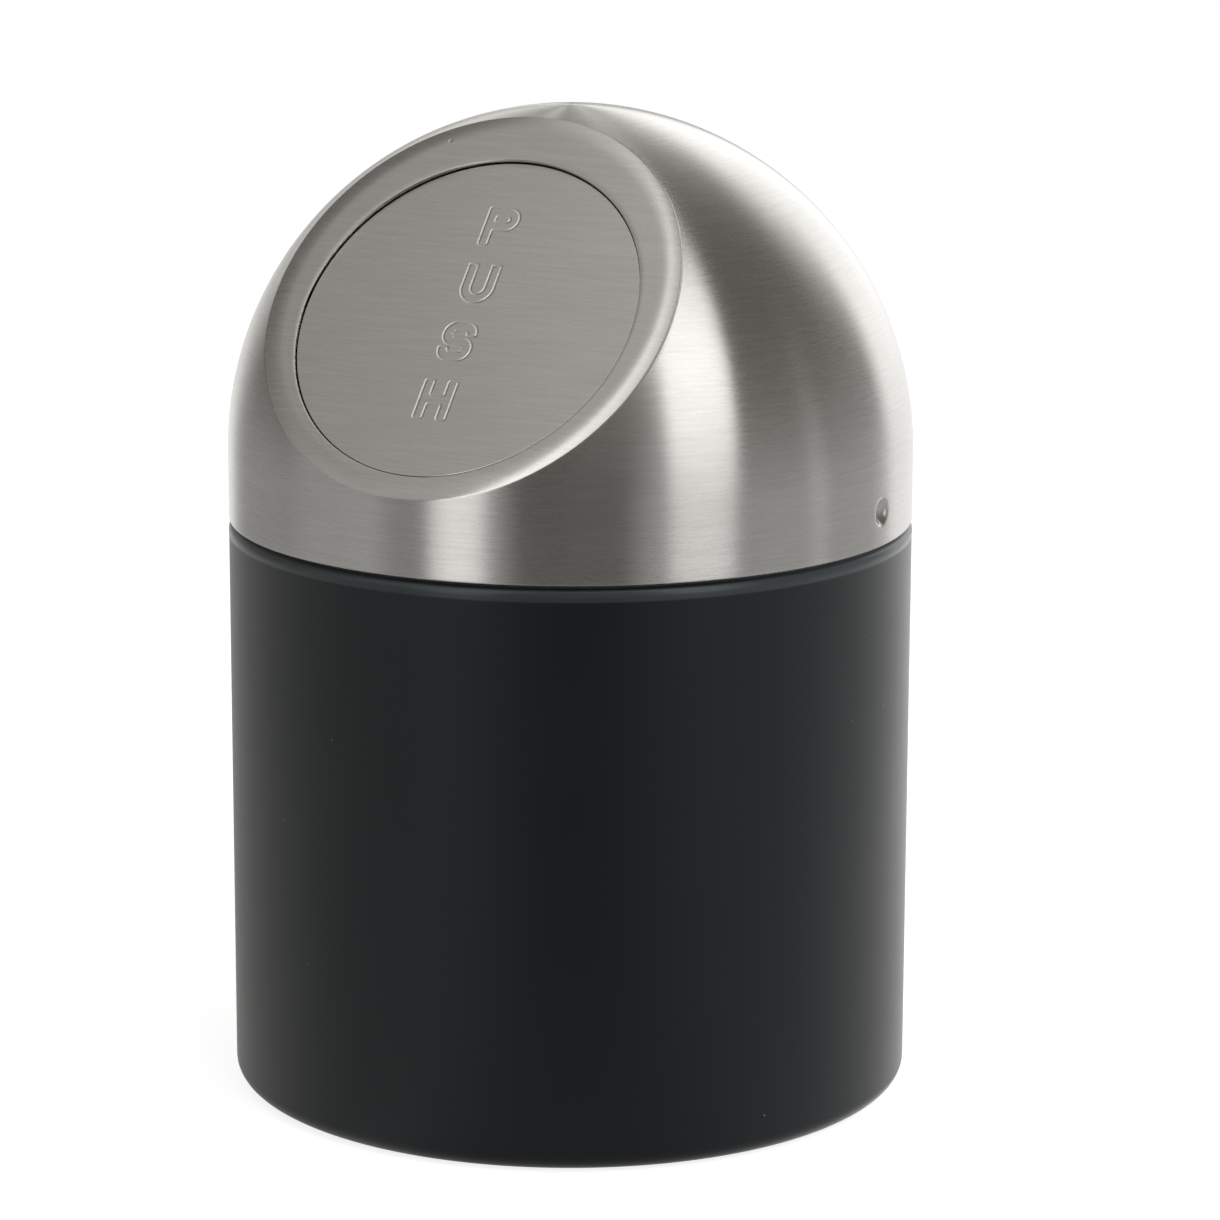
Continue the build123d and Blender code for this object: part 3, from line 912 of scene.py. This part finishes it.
# ---- flap and its word
BEND_STEPS = 10
RIM_STEPS = 192
LETTER_CORNER = 0.3 * MM
EDGE_BEVEL = 0.08 * MM
# Where the lines that follow a groove lie across it, in halves of its width
GROOVE_SIDES = (-1, -0.66, -0.33, 0, 0.33, 0.66, 1)
LEAST_MITRE = 0.3
NO_LENGTH = 1e-9
SAME_PLACE = 1e-4


def rounded_path(points, closed):
    """Points along straight runs whose corners are rounded: each point is (x, y, corner)."""
    path = []
    count = len(points)
    for i, (x, y, corner) in enumerate(points):
        here = Vector((x, y))
        if corner <= 0 or (not closed and i in (0, count - 1)):
            path.append(here)
            continue
        before = Vector(points[i - 1][:2])
        after = Vector(points[(i + 1) % count][:2])
        a = (before - here).normalized()
        b = (after - here).normalized()
        half = a.angle(b) / 2
        back = corner / tan(half)
        centre = here + (a + b).normalized() * (corner / sin(half))
        start = here + a * back - centre
        end = here + b * back - centre
        turn = start.angle_signed(end)
        for step in range(BEND_STEPS + 1):
            spot = start.copy()
            spot.rotate(Matrix.Rotation(-turn * step / BEND_STEPS, 2))
            path.append(centre + spot)
    return path


def shifted(path, distance, closed):
    """The path moved sideways, to its left where distance is positive."""
    moved = []
    count = len(path)
    for i, here in enumerate(path):
        before = path[i - 1] if closed or i else here
        after = path[(i + 1) % count] if closed or i < count - 1 else here
        a = here - before if (here - before).length > NO_LENGTH else after - here
        b = after - here if (after - here).length > NO_LENGTH else a
        a.normalize()
        b.normalize()
        left_of_a = Vector((-a.y, a.x))
        left = left_of_a + Vector((-b.y, b.x))
        left.normalize()
        moved.append(here + left * (distance / max(LEAST_MITRE, left.dot(left_of_a))))
    return moved


def ribbon(line, width):
    """The outline of a stroke along the middle of a line."""
    path = rounded_path(line, False)
    return shifted(path, width / 2, False) + shifted(path, -width / 2, False)[::-1]


def letter_outlines(flap):
    """Closed outlines of the plain block capitals P, U, S and H about their middles."""
    half_w, half_h = flap.letter_width / 2, flap.letter_height / 2
    stroke, soft = flap.letter_stroke, LETTER_CORNER
    middle_w, middle_h = half_w - stroke / 2, half_h - stroke / 2
    leg, top = half_w - stroke, half_h - stroke
    # Shares of a full bend, of the counter's bend, of half the height and of the S's bend
    nearly_full, tight, waist_drop, hook_bend, hook_end = 0.98, 0.4, 0.2, 0.9, 0.45
    waist = -half_h * waist_drop
    bowl = (half_h - waist) / 2
    inner = (bowl - stroke) * nearly_full
    p_outside = [
        (-half_w, -half_h, soft),
        (-leg, -half_h, soft),
        (-leg, waist, soft),
        (half_w, waist, bowl * nearly_full),
        (half_w, half_h, bowl * nearly_full),
        (-half_w, half_h, soft),
    ]
    p_counter = [
        (-leg, waist + stroke, inner * tight),
        (leg, waist + stroke, inner),
        (leg, top, inner),
        (-leg, top, inner * tight),
    ]
    u_line = [
        (-middle_w, half_h, 0),
        (-middle_w, -middle_h, middle_w * nearly_full),
        (middle_w, -middle_h, middle_w * nearly_full),
        (middle_w, half_h, 0),
    ]
    turn = middle_h / 2 * nearly_full
    s_half = [
        (middle_w, middle_h * hook_end, 0),
        (middle_w, middle_h, turn * hook_bend),
        (-middle_w, middle_h, turn),
        (-middle_w, 0, turn),
    ]
    s_line = s_half + [(-x, -y, corner) for x, y, corner in s_half[::-1]]
    bar = stroke / 2
    h_half = [
        (-half_w, -half_h),
        (-leg, -half_h),
        (-leg, -bar),
        (leg, -bar),
        (leg, -half_h),
        (half_w, -half_h),
    ]
    h_outside = [(x, y, soft) for x, y in h_half + [(-x, -y) for x, y in h_half]]
    return [
        [rounded_path(p_outside, True), rounded_path(p_counter, True)],
        [ribbon(u_line, stroke)],
        [ribbon(s_line, stroke)],
        [rounded_path(h_outside, True)],
    ]


def rim_angles():
    """Angles of the points round the flap's rim."""
    return np.linspace(0, 2 * pi, RIM_STEPS, endpoint=False)


def flap_top(flap, facet, radius):
    """Flat face with the letters' outlines pressed in: points, faces and the rim's indexes."""
    places, heights, edges = [], [], []

    def loop(points, height):
        """Add a closed line of points at one height, which the mesh will keep to."""
        first = len(places)
        places.extend(points)
        heights.extend([height] * len(points))
        edges.extend((first + i, first + (i + 1) % len(points)) for i in range(len(points)))

    rim = [Vector((radius * sin(a), facet.flap_y + radius * cos(a))) for a in rim_angles()]
    loop(rim, 0.0)
    for index, outlines in enumerate(letter_outlines(flap)):
        middle = Vector((0.0, flap.letter_top - index * flap.letter_pitch))
        for outline in outlines:
            line = [point + middle for point in outline]
            for side in GROOVE_SIDES:
                depth = -0.5 * (1 + cos(pi * side))
                moved = shifted(line, side * flap.groove_width / 2, True)
                loop(moved, depth * flap.groove_depth)
    scaled = [place / MM for place in places]
    points, _, faces, kept, _, _ = delaunay_2d_cdt(scaled, edges, [], 0, SAME_PLACE)
    level = []
    for sources in kept:
        level.append(min((heights[i] for i in sources), default=0.0))
    placed = [(p.x * MM, p.y * MM, z) for p, z in zip(points, level)]
    where = {source: new for new, sources in enumerate(kept) for source in sources}
    return placed, faces, [where[i] for i in range(RIM_STEPS)]


def flap_edge(flap, outer, top):
    """From the face's rim over the turned edge to the underside, as (radius, height) points."""
    edge, bevel = flap.edge_round, EDGE_BEVEL
    low, under = top - flap.edge_depth, top - flap.sheet
    inner = outer - flap.sheet
    bend = arc_points((outer - edge, top - edge), edge, pi / 2, 0)[1:]
    turned = [(outer, low + bevel), (outer - bevel, low), (inner, low), (inner, under)]
    return bend + turned + [(inner / 2, under)]


def flap_mesh(flap, facet):
    """Points in the facet's own directions, faces, and which of the faces are level."""
    outer, top = facet.flap_radius, facet.flap_face
    points, faces, rim = flap_top(flap, facet, outer - flap.edge_round)
    local = [(x, y, top + z) for x, y, z in points]
    faces = [tuple(f) for f in faces]
    level = [max(points[i][2] for i in f) - min(points[i][2] for i in f) < NO_LENGTH for f in faces]
    for radius, height in flap_edge(flap, outer, top):
        first = len(local)
        for a in rim_angles():
            local.append((radius * sin(a), facet.flap_y + radius * cos(a), height))
        fresh = list(range(first, len(local)))
        for i, j in zip(range(RIM_STEPS), [*range(1, RIM_STEPS), 0]):
            faces.append((rim[i], rim[j], fresh[j], fresh[i]))
            level.append(False)
        rim = fresh
    faces.append(tuple(rim))
    level.append(True)
    return local, faces, level


class BIN_OT_flap(bpy.types.Operator):
    """Build the brushed flap with the word pressed into its face"""

    bl_idname = "push_bin.flap"
    bl_label = "Build Flap"

    def execute(self, context):
        flap = context.scene.bin_flap
        facet = Facet(context.scene.bin_lid, flap)
        local, faces, level = flap_mesh(flap, facet)
        low_y = facet.flap_y - facet.flap_radius
        slope = tan(flap.lean)
        placed = [
            facet.place(x + flap.aside, y, height - (y - low_y) * slope) for x, y, height in local
        ]
        steel = brushed_steel("brushed_flap", context.scene.bin_finish)
        piece = new_piece("flap_plate", placed, faces, steel)
        mesh = piece.data
        mesh.polygons.foreach_set("use_smooth", [not is_level for is_level in level])
        x, y, _ = np.array(local).T
        lay_brush_lines(mesh, y, x[corner_points(mesh)])
        face_outwards(mesh)
        settle(piece, "flap", "flap_steel", "flap_disc")
        return {"FINISHED"}


# ---- inner works
LEG_STEPS = 8
STEPS_PER_TURN = 24
COIL_LAP = 0.9  # where in the moving arc the fixed coil starts, so that the two overlap


class BIN_OT_springs(bpy.types.Operator):
    """Wind the two return springs, each with a leg that turns with the flap"""

    bl_idname = "push_bin.springs"
    bl_label = "Build Springs"

    def execute(self, context):
        works = context.scene.bin_works
        facet = Facet(context.scene.bin_lid, context.scene.bin_flap)
        hinge = next(joint for joint in frame["joints"] if joint["name"] == "flap_hinge")
        axle = Vector(hinge["pos_m"])
        radius = works.coil_radius
        lead = works.coil_pitch / (2 * pi)
        whole = 2 * pi * works.coil_turns
        slant = works.leg * lead / hypot(radius, lead)
        run = works.leg * radius / hypot(radius, lead)
        wire = bpy.data.materials.get("drawn_wire") or drawn_wire(context.scene.bin_finish)
        arc = works.moving_arc
        for word, hand in (("left", -1), ("right", 1)):
            node = "return_spring_" + word
            low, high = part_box(node)
            outer = max(abs(low.x), abs(high.x)) - works.spring_wire / 2 - slant

            def at(turn):
                """Where the middle of the wire is, so far round the coil from its outer end."""
                aside = hand * (outer - lead * turn)
                over = facet.up * sin(turn) - facet.normal * cos(turn)
                return axle + facet.right * aside + over * radius

            leg_aside, leg_up = facet.right * (hand * slant), facet.up * run
            moving = [at(0.0) + leg_aside - leg_up]
            moving += [at(turn) for turn in np.linspace(0.0, arc, LEG_STEPS)]
            steps = STEPS_PER_TURN * works.coil_turns
            coil = [at(turn) for turn in np.linspace(arc * COIL_LAP, whole, steps)]
            coil += [at(whole) - leg_aside + leg_up]
            settle(wire_piece("spring_coil_" + word, coil, works, wire), "lid", "spring_steel", node)
            settle(wire_piece("spring_leg_" + word, moving, works, wire), "flap", "spring_steel")
        return {"FINISHED"}


class BIN_OT_works(bpy.types.Operator):
    """Give the parts inside the lid and under the can their finishes"""

    bl_idname = "push_bin.works"
    bl_label = "Finish Inner Works"

    def execute(self, context):
        finish = context.scene.bin_finish
        plastic = moulded("moulded_plastic", finish.plastic, roughness=0.5)
        rubber = moulded("soft_rubber", finish.rubber, roughness=0.75)
        foam = moulded("foam_tape", finish.foam, roughness=0.85, grain=900.0, depth=0.05 * MM)
        wire = bpy.data.materials.get("drawn_wire") or drawn_wire(finish)
        by_node = {
            "foot_ring": rubber,
            "stop_pad_left": rubber,
            "stop_pad_right": rubber,
            "lid_collar": plastic,
            "hinge_frame": plastic,
            "flap_carrier": plastic,
            "flap_tape": foam,
        }
        for name, node in frame["nodes"].items():
            if not node.hide_render:
                finish_node(node, by_node.get(name, wire))
        return {"FINISHED"}


def finish_node(node, material):
    """Put one material in every slot of a node that still shows."""
    if not node.material_slots:
        node.data.materials.append(material)
    for place in node.material_slots:
        place.material = material


# ---- stage
FLOOR_SIDES = 64
# The floor's pools fade between two distances from the bin's axis, to a share of their light
NEAR_BIN, CLEAR_OF_BIN = 0.08, 0.3
NEAR_LIGHT = 0.2
# Each lamp's angle aside and rise, distance, width and height in metres, radiance and lean
LAMPS = {
    "right_softbox": (47, 33, 1.4, 0.6, 1.6, 1.8, 9),
    "left_softbox": (-37, 28, 1.4, 0.5, 1.45, 1.5, 0),
    "front_fill": (34, 32, 1.6, 1.2, 1.2, 2.4, 0),
    "right_rim": (112, 18, 1.4, 0.8, 1.0, 3.0, 0),
}
UNMIRRORED = ("front_fill", "right_rim")


class Surroundings:
    """Patches of light round the bin, by angle from the camera's side and angle above level."""

    def __init__(self, tree, way, stage):
        self.tree = tree
        parts = put(tree, "ShaderNodeSeparateXYZ", {0: way}).outputs
        away = maths(tree, "MULTIPLY", parts[1], -1.0)
        turn = maths(tree, "ARCTAN2", parts[0], away)
        self.aside = maths(tree, "SUBTRACT", turn, stage.azimuth)
        self.rise = maths(tree, "ARCSINE", parts[2])
        self.total = 0.0

    def within(self, angle_socket, centre, half, soft):
        """One where an angle is within half of a centre and none beyond, with a soft edge."""
        tree = self.tree
        inputs = {0: maths(tree, "SUBTRACT", angle_socket, radians(centre)), 1: pi, 2: -pi}
        off = maths(tree, "ABSOLUTE", result(tree, "ShaderNodeMath", inputs, operation="WRAP"))
        return remap(tree, off, radians(half - soft), radians(half + soft), 1.0, 0.0, smooth=True)

    def patch(self, name, aside, half, strength, soft=6.0, low=None, high=None, fade=8.0):
        """Add light, or take it away, so many degrees to either side and from low to high."""
        tree = self.tree
        lit = maths(tree, "MULTIPLY", self.within(self.aside, aside, half, soft), strength)
        if high is not None:
            middle, reach = (low + high) / 2, (high - low) / 2
            lit = maths(tree, "MULTIPLY", lit, self.within(self.rise, middle, reach, fade))
        lit.node.label = name
        self.total = maths(tree, "ADD", self.total, lit)


def floor_material(stage):
    """Pale floor that shows white and still holds the bin's shadow; to reflections it glows with
    painted pools of light and a painted darker patch in front.
    """
    material, tree, shader, place = new_material("pale_floor")
    tree.nodes.remove(shader)
    output = next(n for n in tree.nodes if n.type == "OUTPUT_MATERIAL")
    path = put(tree, "ShaderNodeLightPath").outputs
    # Painted pools of light and a painted darker patch: the floor's glow in reflections changes by
    # direction, with no lamp behind it
    pools = Surroundings(tree, place, stage)
    pools.patch("behind", aside=168, half=44, strength=0.62, soft=14)
    pools.patch("behind, left", aside=-160, half=12, strength=0.12)
    pools.patch("dark front", aside=0, half=20, strength=-0.33)
    pools.patch("front, left", aside=-35, half=7, strength=0.6, soft=5)
    pools.patch("dark left", aside=-54, half=8, strength=-0.12, soft=5)
    pools.patch("front, right", aside=41, half=9, strength=0.32, soft=5)
    pools.patch("right", aside=88, half=30, strength=0.12, soft=8)
    pools.patch("thin right", aside=87, half=4, strength=0.15, soft=2)
    away = put(tree, "ShaderNodeVectorMath", {0: place}, operation="LENGTH").outputs["Value"]
    clear_of_bin = remap(tree, away, NEAR_BIN, CLEAR_OF_BIN, NEAR_LIGHT, 1.0)
    lit = maths(tree, "MULTIPLY", pools.total, clear_of_bin)
    pool_glow = maths(tree, "ADD", lit, stage.floor_mirror)
    pool = result(tree, "ShaderNodeEmission", {"Strength": pool_glow})
    clear = maths(tree, "MAXIMUM", path["Is Camera Ray"], path["Is Transmission Ray"])
    glow = maths(tree, "MULTIPLY", clear, stage.floor_glow)
    white = result(tree, "ShaderNodeEmission", {"Strength": glow})
    pale = (stage.floor_tone,) * 3
    matt = result(tree, "ShaderNodeBsdfDiffuse", {"Color": (*pale, 1.0)})
    shown = result(tree, "ShaderNodeAddShader", {0: matt, 1: white})
    inputs = {0: path["Is Glossy Ray"], 1: shown, 2: pool}
    fill(tree, output, {"Surface": result(tree, "ShaderNodeMixShader", inputs)})
    return material


def make_world(stage):
    """White to the camera; to the bin a studio with a pale wall behind it and a dark front."""
    world = bpy.data.worlds.new("studio")
    bpy.context.scene.world = world
    world.use_nodes = True
    tree = world.node_tree
    tree.nodes.clear()
    way = put(tree, "ShaderNodeTexCoord").outputs["Generated"]
    path = put(tree, "ShaderNodeLightPath").outputs
    seen = maths(tree, "MAXIMUM", path["Is Camera Ray"], path["Is Transmission Ray"])
    hidden = maths(tree, "SUBTRACT", 1.0, seen)
    walls = Surroundings(tree, way, stage)
    walls.patch("wall behind", aside=152, half=21, strength=1.25, soft=7, low=-20, high=38)
    walls.patch("right, low", aside=116, half=18, strength=0.12, soft=8, low=-20, high=0, fade=6)
    walls.patch("behind, left, low", aside=-160, half=20, strength=0.22, soft=10, low=-20, high=14)
    walls.patch("behind, left", aside=-174, half=20, strength=0.85, soft=8, low=8, high=36)
    walls.patch("behind, high", aside=165, half=36, strength=0.17, soft=15, low=42, high=64)
    walls.patch("cove", aside=-40, half=120, strength=0.7, soft=12, low=59.5, high=76, fade=4.5)
    walls.patch("ceiling", aside=55, half=52, strength=1.5, soft=8, low=70, high=110, fade=5)
    walls.patch("left", aside=-82, half=20, strength=0.3, soft=8, low=-20, high=30)
    walls.patch("tall, left", aside=-63, half=22, strength=0.44, soft=4, low=20, high=62)
    walls.patch("right", aside=88, half=30, strength=0.08, soft=8, low=-20, high=14)
    walls.patch("thin right", aside=87, half=4, strength=0.12, soft=2, low=-20, high=12)
    lit = maths(tree, "MULTIPLY", walls.total, hidden)
    bright = maths(tree, "ADD", lit, maths(tree, "MULTIPLY", seen, stage.white))
    white = (1.0, 1.0, 1.0, 1.0)
    pale = result(tree, "ShaderNodeBackground", {"Color": white, "Strength": bright})
    level = maths(tree, "MULTIPLY", hidden, stage.level)
    dim_colour = (*stage.dim_tone, 1.0)
    dim = result(tree, "ShaderNodeBackground", {"Color": dim_colour, "Strength": level})
    both = result(tree, "ShaderNodeAddShader", {0: pale, 1: dim})
    put(tree, "ShaderNodeOutputWorld", {"Surface": both})


def softbox(stage, name, aside, rise, distance, width, height, radiance, lean):
    """A rectangular lamp that faces the bin, its top leaning aside by an angle."""
    lamp = bpy.data.lights.new(name, "AREA")
    lamp.shape = "RECTANGLE"
    lamp.size, lamp.size_y = width, height
    lamp.energy = radiance * pi * width * height
    where = add_object(name, lamp)
    turn, lift = stage.azimuth + radians(aside), radians(rise)
    way = Vector((sin(turn) * cos(lift), -cos(turn) * cos(lift), sin(lift)))
    where.location = Vector((0.0, 0.0, stage.lamp_aim)) + way * distance
    turned = way.to_track_quat("Z", "Y").to_matrix() @ Matrix.Rotation(radians(-lean), 3, "Z")
    where.rotation_euler = turned.to_euler()
    return where


def make_camera(stage):
    """The camera, tipped down, aside and over, then carried round the bin to its place."""
    camera = bpy.data.cameras.new("camera")
    camera.sensor_width = 36.0
    camera.lens = stage.lens
    camera.clip_start, camera.clip_end = 0.05, 20.0
    eye = add_object("camera", camera)
    right = Vector((cos(stage.yaw), sin(stage.yaw), 0.0))
    ahead = Vector((-sin(stage.yaw), cos(stage.yaw), 0.0))
    upright = Vector((0.0, 0.0, 1.0))
    forward = ahead * cos(stage.pitch) - upright * sin(stage.pitch)
    over = ahead * sin(stage.pitch) + upright * cos(stage.pitch)
    side = right * cos(stage.roll) + over * sin(stage.roll)
    top = over * cos(stage.roll) - right * sin(stage.roll)
    matrix = Matrix((side, top, -forward)).transposed().to_4x4()
    matrix.translation = Vector((0.0, -stage.distance, stage.height))
    eye.matrix_world = Matrix.Rotation(stage.azimuth, 4, "Z") @ matrix
    bpy.context.scene.camera = eye


class BIN_OT_stage(bpy.types.Operator):
    """Set up the camera, the pale floor and the soft lamps"""

    bl_idname = "push_bin.stage"
    bl_label = "Build Stage"

    def execute(self, context):
        stage = context.scene.bin_stage
        context.scene.view_settings.view_transform = "Standard"
        make_camera(stage)
        make_world(stage)
        for name, numbers in LAMPS.items():
            lamp = softbox(stage, name, *numbers)
            lamp.visible_glossy = name not in UNMIRRORED
        radius = stage.floor_radius
        corners = [
            (radius * cos(a), radius * sin(a), FLOOR_Z)
            for a in np.linspace(0, 2 * pi, FLOOR_SIDES, endpoint=False)
        ]
        floor = new_piece("floor", corners, [range(FLOOR_SIDES)], floor_material(stage), False)
        return {"FINISHED"}


# ---- panel and registration
OPERATORS = (BIN_OT_can, BIN_OT_lid, BIN_OT_flap, BIN_OT_springs, BIN_OT_works, BIN_OT_stage)


class BIN_PT_panel(bpy.types.Panel):
    """Lists the steps that build the bin"""

    bl_idname = "BIN_PT_panel"
    bl_label = "Push Top Bin"
    bl_space_type = "VIEW_3D"
    bl_region_type = "UI"
    bl_category = "Push Top Bin"

    def draw(self, context):
        for operator in OPERATORS:
            self.layout.operator(operator.bl_idname)
        for name, group in GROUPS:
            box = self.layout.box()
            box.label(text=group.__doc__)
            for field in group.__annotations__:
                box.prop(getattr(context.scene, name), field)


def register():
    for name, group in GROUPS:
        bpy.utils.register_class(group)
        setattr(bpy.types.Scene, name, PointerProperty(type=group))
    for kind in (*OPERATORS, BIN_PT_panel):
        bpy.utils.register_class(kind)


def unregister():
    for kind in (BIN_PT_panel, *OPERATORS):
        bpy.utils.unregister_class(kind)
    for name, group in GROUPS:
        delattr(bpy.types.Scene, name)
        bpy.utils.unregister_class(group)


def main():
    register()
    bpy.ops.push_bin.stage()
    bpy.ops.push_bin.can()
    bpy.ops.push_bin.lid()
    bpy.ops.push_bin.flap()
    bpy.ops.push_bin.springs()
    bpy.ops.push_bin.works()


if __name__ == "__main__":
    main()
